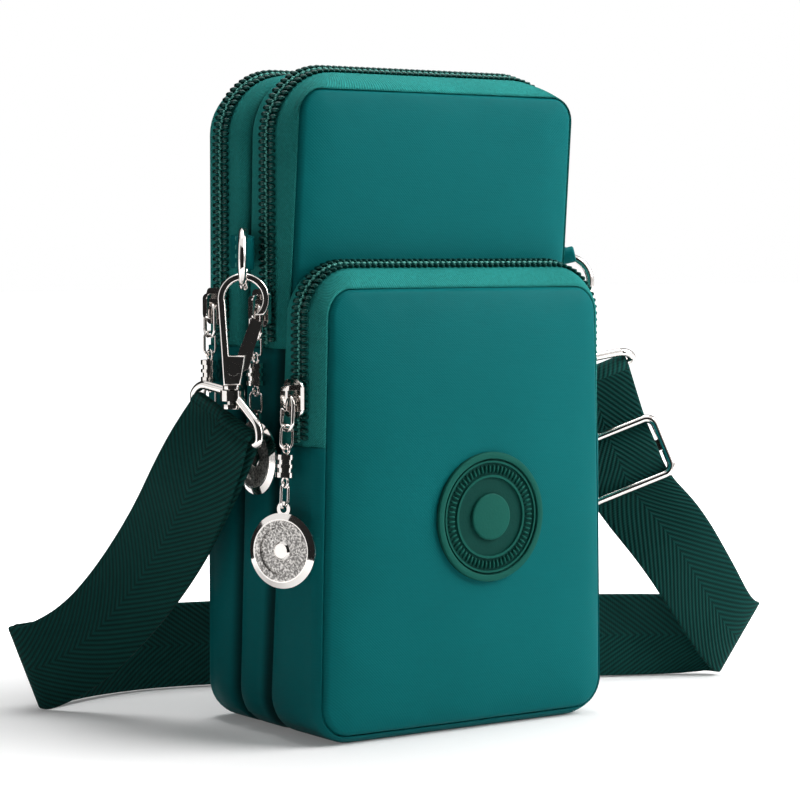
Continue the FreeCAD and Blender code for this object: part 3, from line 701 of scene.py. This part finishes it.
rubber, place, _ = begin("matte rubber")
tone = place.cloud(90.0, 3.0)
grain = place.cloud(1600.0, 2.0)
low_rubber = badge_y - 1.0
high_rubber = badge_y - 1.8
# Painted shade: the rubber's colour is darker in the recesses than on what stands proud.
proud_unshaded = place.part(1).ramp(low_rubber * mm, high_rubber * mm, 0.0, 1.0)
rubber_tone_and_recess_shade = proud_unshaded * 0.7 + tone * 0.2 + grain * 0.1
rubber_base = rubber_tone_and_recess_shade.dyed((0.0014, 0.026, 0.022), (0.0090, 0.104, 0.080))
surface(rubber, rubber_base, 0.55 + 0.15 * grain, grain, 0.00005, Specular_IOR_Level=0.06)


def lathe(name, profile, centre, material, steps=96):
    """Turned shape about a line along Y: the profile holds radii and heights towards the front."""
    points = []
    for i in range(steps):
        angle = 2 * math.pi * i / steps
        x = math.cos(angle)
        z = math.sin(angle)
        points.extend((centre[0] + r * x, centre[1] - h, centre[2] + r * z) for r, h in profile)
    count = len(profile)
    faces = []
    for i in range(steps):
        a = i * count
        b = (i + 1) % steps * count
        faces.extend((a + j, b + j, b + j + 1, a + j + 1) for j in range(count - 1))
    faces.append([i * count for i in range(steps)][::-1])
    faces.append([i * count + count - 1 for i in range(steps)])
    piece = mesh_piece(name, points, faces, material)
    piece.data.set_sharp_from_angle(angle=math.radians(35))
    return piece


badge_profile = (
    (17.2, -2.6), (17.6, 0.0), (17.7, 1.7), (17.55, 2.0), (17.3, 2.1), (16.1, 2.1), (15.9, 2.0),
    (15.8, 1.15), (15.4, 1.15), (15.3, 1.75), (14.8, 1.75), (14.7, 1.15), (11.5, 1.15), (11.4, 1.75),
    (10.8, 1.75), (10.7, 1.15), (6.4, 1.15), (6.3, 1.9), (6.1, 2.05), (5.8, 2.1), (3.0, 2.15), (0.4, 2.2),
)
badge = lathe("badge_body", badge_profile, (badge_x, badge_y, badge_z), rubber)
tick_radius = 13.1
tick_lift = 1.3
tick_size = (0.8, 1.7, 2.9)
tick_pitch = 2 * math.pi * tick_radius / 64
tick_ring = []
for i in range(121):
    angle = 2 * math.pi * i / 120
    x = badge_x + tick_radius * math.cos(angle)
    z = badge_z + tick_radius * math.sin(angle)
    tick_ring.append((x, badge_y - tick_lift, z))
ticks = bars_along("badge_ticks", tick_ring, tick_pitch, tick_size, rubber)
badge = joined("badge", [badge, ticks])
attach(badge, "pouch")
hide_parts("badge")

# Hardware: sliders, pulls, hooks, rings, strap loops and buckle, die-cast or bent from wire and
# plated with bright nickel of a faintly warm tone. The edges of the castings are slightly broken.
nickel, place, _ = begin("bright nickel")
tone = place.cloud(160.0, 2.0)
scuff = place.cloud(900.0, 2.0)
surface(nickel, tone.dyed((0.74, 0.70, 0.67), (0.84, 0.80, 0.77)), 0.06 + 0.06 * scuff, scuff, 0.00001, 1.0)


def plated(shown, finish):
    """Gives a metal piece its finish."""
    shown.data.materials.clear()
    shown.data.materials.append(finish)


for node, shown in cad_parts.items():
    if any(word in node for word in ("slider", "pull", "hook", "spring", "_ring", "loop", "buckle")):
        plated(shown, nickel)
    if any(word in node for word in ("slider", "hook_body", "hook_gate", "hook_rivet")):
        weld = shown.modifiers.new("closed edges", "WELD")
        weld.merge_threshold = 0.002 * mm
        broken = shown.modifiers.new("broken edges", "BEVEL")
        broken.limit_method = "ANGLE"
        broken.angle_limit = math.radians(40)
        broken.width = 0.22 * mm
        broken.segments = 2
        broken.use_clamp_overlap = True

# Pull discs: cast and plated like the rest, with a polished rim and dome. The floor between them is
# frosted, by the distance from each disc's middle.
dome_edge = (0.0026, 0.0027)
frost_edge = (0.0080, 0.0082)
disc_centres = {
    "rear": (-52.4, rear_zip_y, 75.8),
    "middle": (-52.4, middle_zip_y, 75.8),
    "pocket": (-54.2, pocket_zip_y, 52.3),
}
for name, centre in disc_centres.items():
    frosted, place, _ = begin(name + " disc nickel")
    middle = Vector(centre) * mm
    radius = place.node("ShaderNodeVectorMath", {"operation": "DISTANCE"}, {0: place, 1: middle}, 1)
    frost = radius.ramp(*frost_edge, 1.0, 0.0) * radius.ramp(*dome_edge, 0.0, 1.0)
    speck = frost * place.cloud(1700.0, 1.0).ramp(0.35, 0.62, 0.1, 1.0)
    disc_base = speck.dyed((0.80, 0.765, 0.735), (0.24, 0.23, 0.22))
    surface(frosted, disc_base, 0.08 + 0.27 * frost, speck, 0.0001, 1.0)
    plated(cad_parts[name + "_pull_disc"], frosted)

# Side tabs: a strip of the same nylon folded round each ring and sewn to the pouch's side with two
# short rows of stitches.
tab_half = 4.5
tab_rows = {
    "left": (((-49.6, 11.0, 131.0), (0, 0, 1), (-1, 0, 0)),
             ((-49.6, 8.0, 131.0), (0, 0, 1), (-1, 0, 0)),
             ((-49.7, 5.0, 131.0), (0, 0, 1), (-1, 0, 0)),
             ((-51.6, 1.2, 130.9), (-0.05, -0.08, 0.99), (-0.86, 0.5, 0)),
             ((-54.45, -3.05, 130.68), (-0.115, -0.165, 0.98), (-0.8, 0.58, 0))),
    "right": (((49.6, 7.0, 141.0), (0, 1, 0), (1, 0, 0)),
              ((49.6, 7.0, 138.0), (0, 1, 0), (1, 0, 0)),
              ((49.8, 7.0, 135.0), (0, 1, 0), (1, 0, 0)),
              ((53.6, 5.0, 131.8), (-0.45, 0.88, -0.12), (0.7, 0.4, 0.6)),
              ((57.45, 3.04, 129.21), (-0.8, 0.558, -0.222), (0.5, 0.4, 0.77))),
}
tab_profile = ((-1, -0.5), (-0.97, -0.95), (-0.8, -1), (0, -1), (0.8, -1), (0.97, -0.95), (1, -0.5),
               (1, 0.5), (0.97, 0.95), (0.8, 1), (0, 1), (-0.8, 1), (-0.97, 0.95), (-1, 0.5))
sleeve_profile = ((-4.4, 1.5), (-4.5, 2.0), (-4.3, 2.3), (-4.0, 2.4), (0, 2.4), (4.0, 2.4), (4.3, 2.3),
                  (4.5, 2.0), (4.4, 1.5), (0, 1.45), (-4.4, 1.5))
stitch_size = (1.7, 0.5, 0.5)
stitch_pitch = 2.3
stitch_lift = 1.05
stitch_half = 3.6
tab_ends = {"left": ((-54.45, -3.05, 130.68), (-0.1148, -0.1646, 0.9797)),
            "right": ((57.45, 3.04, 129.21), (-0.7996, 0.5578, -0.2224))}


def loft(name, sections, material, closed=True):
    """Skin through loops of points, each with the same count, with or without faces at its two ends."""
    count = len(sections[0])
    points = [p for loop in sections for p in loop]
    faces = []
    for i in range(len(sections) - 1):
        for j in range(count):
            k = (j + 1) % count
            faces.append((i * count + j, i * count + k, (i + 1) * count + k, (i + 1) * count + j))
    if closed:
        faces.append(list(range(count))[::-1])
        faces.append([(len(sections) - 1) * count + j for j in range(count)])
    piece = mesh_piece(name, points, faces, material)
    shell = bmesh.new()
    shell.from_mesh(piece.data)
    bmesh.ops.recalc_face_normals(shell, faces=shell.faces)
    shell.to_mesh(piece.data)
    shell.free()
    return piece


for side, rows in tab_rows.items():
    sections = []
    for i, (point, wide, thick) in enumerate(rows):
        point, wide, thick = Vector(point), Vector(wide).normalized(), Vector(thick).normalized()
        if i == len(rows) - 1:
            point = point.lerp(Vector(rows[i - 1][0]), 0.25)
        sections.append([point + wide * (u * tab_half) + thick * v for u, v in tab_profile])
    strip = loft(side + "_tab_strip", sections, nylon)
    middle, line = (Vector(v) for v in tab_ends[side])
    line.normalize()
    first = line.orthogonal().normalized()
    second = line.cross(first)
    sleeve_rings = []
    for along, radius in sleeve_profile:
        loop = []
        for k in range(20):
            angle = 2 * math.pi * k / 20
            loop.append(middle + line * along + (first * math.cos(angle) + second * math.sin(angle)) * radius)
        sleeve_rings.append(loop)
    sleeve = loft(side + "_tab_sleeve", sleeve_rings, nylon, False)
    stitches = []
    for row in rows[1:3]:
        point, wide, thick = (Vector(v) for v in row)
        thick.normalize()
        point = point + thick * stitch_lift
        ends = [point - wide * stitch_half, point + wide * stitch_half]
        normal = thick.cross(wide)
        stitches.append(bars_along(side + "_stitch", ends, stitch_pitch, stitch_size, thread_finish, normal))
    tab = joined(side + "_tab_cloth", [strip, sleeve] + stitches)
    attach(tab, "pouch")
    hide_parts(side + "_tab")

# Shoulder strap: herringbone webbing, doubled from the left hook's loop to the buckle because the
# strap is at its shortest. The free layer goes on over the buckle's bar to the right hook's loop.
loop_height = 0.0078
boss_drop = 0.0027
strap_width = 0.025


def loop_bar(foot, stem, line):
    """Middle, line and rise of the bar of a strap loop, hung on its hook's stem."""
    line = line.normalized()
    rise = (stem - line * stem.dot(line)).normalized()
    return foot - stem * boss_drop - rise * loop_height, line, rise


left_stem = Vector((0.0, 0.0, 1.0))
left_foot = Vector((-0.061143, -0.007226, 0.0956))
left_bar, left_line, _ = loop_bar(left_foot, left_stem, Vector((0.15, -0.904, -0.4)))
right_stem = Vector((-0.5701, -0.4709, 0.6733)).normalized()
right_foot = Vector((0.076183, 0.015383, 0.09938))
right_across = Vector((0.76, -0.53, 0.376))
right_bar, right_line, right_rise = loop_bar(right_foot, right_stem, right_across)
right_out = (-right_line).cross(right_rise).normalized()
strap_edges = [
    (left_bar - left_line * (strap_width / 2), left_bar + left_line * (strap_width / 2)),
    ((-0.0720, 0.0120, 0.0776), (-0.0594, -0.0046, 0.0638)),
    ((-0.0698, 0.0304, 0.0586), (-0.0572, 0.0174, 0.0446)),
    ((-0.0718, 0.0462, 0.0426), (-0.0604, 0.0380, 0.0246)),
    ((-0.0780, 0.0564, 0.0304), (-0.0694, 0.0504, 0.0094)),
    ((-0.0862, 0.0662, 0.0229), (-0.0794, 0.0616, 0.0015)),
    ((-0.0886, 0.0700, 0.0234), (-0.0818, 0.0654, 0.0020)),
    ((-0.0844, 0.0710, 0.0238), (-0.0776, 0.0666, 0.0014)),
    ((-0.0660, 0.0760, 0.0254), (-0.0600, 0.0742, 0.0006)),
    ((-0.0400, 0.0786, 0.0256), (-0.0400, 0.0780, 0.0006)),
    ((-0.0120, 0.0708, 0.0256), (-0.0120, 0.0704, 0.0006)),
    ((0.0360, 0.0470, 0.0256), (0.0360, 0.0466, 0.0006)),
    ((0.0846, 0.0198, 0.0254), (0.0846, 0.0194, 0.0006)),
    ((0.1060, 0.0100, 0.0248), (0.1020, 0.0114, 0.0006)),
    ((0.1254, -0.0026, 0.0234), (0.1152, 0.0044, 0.0008)),
    ((0.1288, -0.0072, 0.0234), (0.1184, 0.0002, 0.0008)),
    ((0.1244, -0.0080, 0.0246), (0.1136, -0.0004, 0.0018)),
    ((0.1164, -0.0074, 0.0364), (0.1032, 0.0018, 0.0176)),
    ((0.1060, -0.0058, 0.0526), (0.0910, 0.0046, 0.0356)),
]
strap_thickness = 0.0013
layer_lift = 0.0009
loop_lift = 0.00215

webbing, place, weave = begin("herringbone webbing")
across = weave.part(0)
along = weave.part(1)
chevron = along / 0.0022 + abs(across - strap_width / 2) * 650.0
rib = chevron.ridge()
pick = (along / 0.0006).ridge()
wear = place.cloud(40.0, 3.0)
mix = rib * 0.65 + pick * 0.2 + wear * 0.15
surface(webbing, mix.dyed((0.0004, 0.0050, 0.0046), (0.0072, 0.080, 0.069)), 0.62 + 0.25 * rib,
        rib * 0.8 + pick * 0.2, 0.00028, Specular_IOR_Level=0.08)


def spline_points(name, points):
    """Points of the smooth curve whose control points these are."""
    curve = bpy.data.curves.new(name, "CURVE")
    curve.dimensions = "3D"
    spline = curve.splines.new("NURBS")
    spline.points.add(len(points) - 1)
    for target, p in zip(spline.points, points):
        target.co = (*p, 1.0)
    spline.order_u = 3
    spline.use_endpoint_u = True
    spline.resolution_u = 10
    guide = bpy.data.objects.new(name, curve)
    bpy.context.scene.collection.objects.link(guide)
    graph = bpy.context.evaluated_depsgraph_get()
    mesh = bpy.data.meshes.new_from_object(guide.evaluated_get(graph), depsgraph=graph)
    made = [v.co.copy() for v in mesh.vertices]
    bpy.data.objects.remove(guide)
    return made


def webbing_strip(name, rows):
    """Flat strap through rows of a centre, a width line and a face line; returns it and its middle line."""
    half = strap_width / 2
    left = spline_points(name + "_a", [c - w * half for c, w, _ in rows])
    right = spline_points(name + "_b", [c + w * half for c, w, _ in rows])
    faces_line = spline_points(name + "_n", [c + n * 0.01 for c, _, n in rows])
    middle = [(a + b) / 2 for a, b in zip(left, right)]
    profile = ((-1, -0.35), (-0.985, -0.8), (-0.94, -1), (-0.5, -1), (0, -1), (0.5, -1), (0.94, -1),
               (0.985, -0.8), (1, -0.35), (1, 0.35), (0.985, 0.8), (0.94, 1), (0.5, 1), (0, 1),
               (-0.5, 1), (-0.94, 1), (-0.985, 0.8), (-1, 0.35))
    sections = []
    length = [0.0]
    for i, (a, b, m, n) in enumerate(zip(left, right, middle, faces_line)):
        wide = (b - a).normalized()
        out = n - m
        out = (out - wide * out.dot(wide)).normalized()
        sections.append([(m + wide * (u * half) + out * (v * strap_thickness / 2)) / mm for u, v in profile])
        if i:
            length.append(length[-1] + (m - middle[i - 1]).length)
    piece = loft(name, sections, webbing)
    layer = piece.data.uv_layers.new(name="UVMap")
    count = len(profile)
    for loop in piece.data.loops:
        i, j = divmod(loop.vertex_index, count)
        layer.data[loop.index].uv = ((profile[j][0] + 1) * half, length[i])
    return piece, middle


def row_frames(edges):
    """Centre, width line and face line of the strap at each pair of edge points."""
    rows = []
    for i, (a, b) in enumerate(edges):
        a, b = Vector(a), Vector(b)
        before = edges[max(i - 1, 0)]
        after = edges[min(i + 1, len(edges) - 1)]
        ahead = Vector(after[0]) + Vector(after[1]) - Vector(before[0]) - Vector(before[1])
        wide = (b - a).normalized()
        rows.append(((a + b) / 2, wide, wide.cross(ahead).normalized()))
    return rows


buckle_centre = Vector((0.0873, 0.0114, 0.0671))
buckle_line = right_across.normalized()
buckle_rise = Vector((-0.296, 0.352, 0.889))
buckle_rise = (buckle_rise - buckle_line * buckle_rise.dot(buckle_line)).normalized()
buckle_back = buckle_rise.cross(buckle_line)
buckle_half = 0.009
bar_edge = 0.0020
rail_lift = 0.00245
bar_lift = 0.00155
layer_step = 0.0018

base_rows = row_frames(strap_edges)
low_rail = buckle_centre - buckle_rise * buckle_half
high_rail = buckle_centre + buckle_rise * buckle_half
low_edge = buckle_centre - buckle_rise * bar_edge
high_edge = buckle_centre + buckle_rise * bar_edge
below_bar = right_bar - right_rise * 0.003
straps = {}
for layer, sign, behind in (("inner", 1, layer_step), ("outer", -1, 0.0)):
    rows = []
    for i, (centre, wide, out) in enumerate(base_rows):
        rows.append((centre + out * (sign * (layer_lift if i else loop_lift)), wide, out))
    at_buckle = [low_rail + buckle_back * (rail_lift + behind)]
    if layer == "inner":
        at_buckle.append(low_edge + buckle_back * (behind - bar_lift))
    else:
        at_buckle.append(low_edge - buckle_back * bar_lift)
        at_buckle.append(high_edge - buckle_back * bar_lift)
        at_buckle.append(high_rail + buckle_back * rail_lift)
    rows.extend((point, -buckle_line, buckle_back) for point in at_buckle)
    if layer == "outer":
        rows.append((below_bar - right_out * loop_lift, -right_line, right_out))
        rows.append((right_bar - right_out * loop_lift, -right_line, right_out))
    straps[layer] = webbing_strip("strap_" + layer, rows)


def bar_turn(name, centre, line, out, up):
    """Half turn of webbing over a loop's bar."""
    sections = []
    inner = 0.0015
    outer = inner + strap_thickness
    turn_step = 0.00052
    profile = ((-1, inner), (0, inner), (1, inner), (1, outer), (0, outer), (-1, outer))
    for i in range(13):
        angle = math.pi * i / 12
        spoke = out * math.cos(angle) + up * math.sin(angle)
        sections.append([(centre + line * (u * strap_width / 2) + spoke * r) / mm for u, r in profile])
    piece = loft(name, sections, webbing)
    layer = piece.data.uv_layers.new(name="UVMap")
    for loop in piece.data.loops:
        i, j = divmod(loop.vertex_index, len(profile))
        layer.data[loop.index].uv = ((profile[j][0] + 1) / 2 * strap_width, turn_step * i)
    return piece


left_centre, left_wide, left_out = base_rows[0]
left_turn = bar_turn("strap_left_turn", left_centre, left_wide, left_out, left_wide.cross(left_out))
right_turn = bar_turn("strap_right_turn", right_bar, right_line, right_out, right_rise)
hem_share = 0.55
hem_out = (right_out * (1 - hem_share) + buckle_back * hem_share).normalized()
hem_line = (-right_line * (1 - hem_share) - buckle_line * hem_share).normalized()
hem_middle = right_bar * (1 - hem_share) + high_rail * hem_share
hem_rows = [(right_bar + right_out * loop_lift, -right_line, right_out),
            (below_bar + right_out * loop_lift, -right_line, right_out),
            (hem_middle + hem_out * (layer_step + loop_lift), hem_line, hem_out)]
hem, _ = webbing_strip("strap_hem", hem_rows)
strap_pieces = (
    (straps["inner"][0], ["strap_inner_layer"]),
    (straps["outer"][0], ["strap_outer_layer", "strap_end"]),
    (left_turn, []),
    (right_turn, []),
    (hem, []),
)
for piece, nodes in strap_pieces:
    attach(piece, "pouch")
    if nodes:
        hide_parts(*nodes)


def run_length(points):
    """Length along a line of points."""
    return sum((b - a).length for a, b in zip(points, points[1:]))


strap_company = {"inner": [left_turn], "outer": [right_turn, hem, "buckle_frame", "buckle_bar"]}
for layer, with_pieces in strap_company.items():
    piece, middle = straps[layer]
    round(run_length(middle), 3)

# Stage: a pale floor on white, soft studio light and a camera at the photograph's angle. Rays from the
# camera, through glass or off metal see a white background, and a floor that is lifted to white away
# from the pouch. All other light sees a plain floor and a dim room.


def white_rays(term):
    """One for the rays that see the white background."""
    kinds = ("Camera", "Transmission", "Glossy")
    rays = [term.node("ShaderNodeLightPath", None, None, "Is %s Ray" % kind) for kind in kinds]
    return rays[0] + rays[1] + rays[2]


floor_mesh = bpy.data.meshes.new("floor")
floor_mesh.from_pydata([(-6, -6, 0), (6, -6, 0), (6, 6, 0), (-6, 6, 0)], [], [(0, 1, 2, 3)])
floor = bpy.data.objects.new("floor", floor_mesh)
bpy.context.scene.collection.objects.link(floor)
pale, place, _ = begin("pale floor")
away = place.node("ShaderNodeVectorMath", {"operation": "LENGTH"}, {0: place}, 1)
lifted = white_rays(place) * away.ramp(0.08, 0.25, 0.12, 1.0, "SMOOTHSTEP")
surface(pale, (0.86, 0.86, 0.86, 1.0), 0.7, None, Specular_IOR_Level=0.1, Emission_Strength=1.0)
pale.node_tree.links.new(lifted.socket, pale.node_tree.nodes["Principled BSDF"].inputs["Emission Color"])
floor_mesh.materials.append(pale)

# Dark cards: upright curved screens round the pouch that only reflections see. They give the plated
# metal its dark flats, as the dark parts of a studio do.
dark_card, _, _ = begin("dark card")
surface(dark_card, (0.02, 0.02, 0.02, 1.0), 0.9, None, Specular_IOR_Level=0.0)
card_radius = 240.0
card_height = 300.0
card_foot = 0.5
card_count = 12
card_spans = ((10, 140), (184, 276), (300, 314))
for start, end in card_spans:
    points = []
    for i in range(card_count + 1):
        angle = math.radians(start + (end - start) * i / card_count)
        x, y = card_radius * math.cos(angle), card_radius * math.sin(angle)
        points.extend(((x, y, card_foot), (x, y, card_height)))
    faces = [(2 * i, 2 * i + 1, 2 * i + 3, 2 * i + 2) for i in range(card_count)]
    card = mesh_piece("card_%d" % start, points, faces, dark_card)
    card.visible_camera = False
    card.visible_diffuse = False
    card.visible_shadow = False

world = bpy.data.worlds.new("studio")
bpy.context.scene.world = world
world.use_nodes = True
world.node_tree.nodes.clear()
room = Term(world.node_tree, world.node_tree.nodes.new("ShaderNodeTexCoord").outputs["Generated"])
glow = room.part(2).ramp(0.05, 0.75, 0.02, 0.17, "SMOOTHSTEP")
sky = room.node("ShaderNodeBackground", None, {"Color": (1.0, 1.0, 1.0, 1.0), "Strength": glow})
seen = room.node("ShaderNodeBackground", None, {"Color": (1.0, 1.0, 1.0, 1.0), "Strength": 1.0})
both = room.node("ShaderNodeMixShader", None, {0: white_rays(room), 1: sky, 2: seen})
world_end = world.node_tree.nodes.new("ShaderNodeOutputWorld")
world.node_tree.links.new(both.socket, world_end.inputs[0])


def place_at(holder, spot, target):
    """Places a lamp or the camera and turns it towards a target."""
    holder.location = spot
    holder.rotation_euler = (Vector(target) - Vector(spot)).to_track_quat("-Z", "Y").to_euler()
    bpy.context.scene.collection.objects.link(holder)


lamps = (("key", (0.42, -0.36, 0.44), 0.5, 6.2), ("left strip", (-0.9, -0.25, 0.45), 0.25, 0.2),
         ("top", (0.05, 0.15, 1.0), 0.6, 5.5))
for name, spot, size, power in lamps:
    lamp = bpy.data.lights.new(name, "AREA")
    lamp.size = size
    lamp.energy = power
    holder = bpy.data.objects.new(name, lamp)
    place_at(holder, spot, (0, 0, 0.09))

camera = bpy.data.cameras.new("photo camera")
camera.sensor_width = 36.0
camera.lens = 116.7
camera.clip_start = 0.01
holder = bpy.data.objects.new("photo camera", camera)
place_at(holder, (-0.4180, -0.5964, 0.13266), (-0.00187, 0.0, 0.08932))
bpy.context.scene.camera = holder
bpy.context.scene.view_settings.view_transform = "Standard"
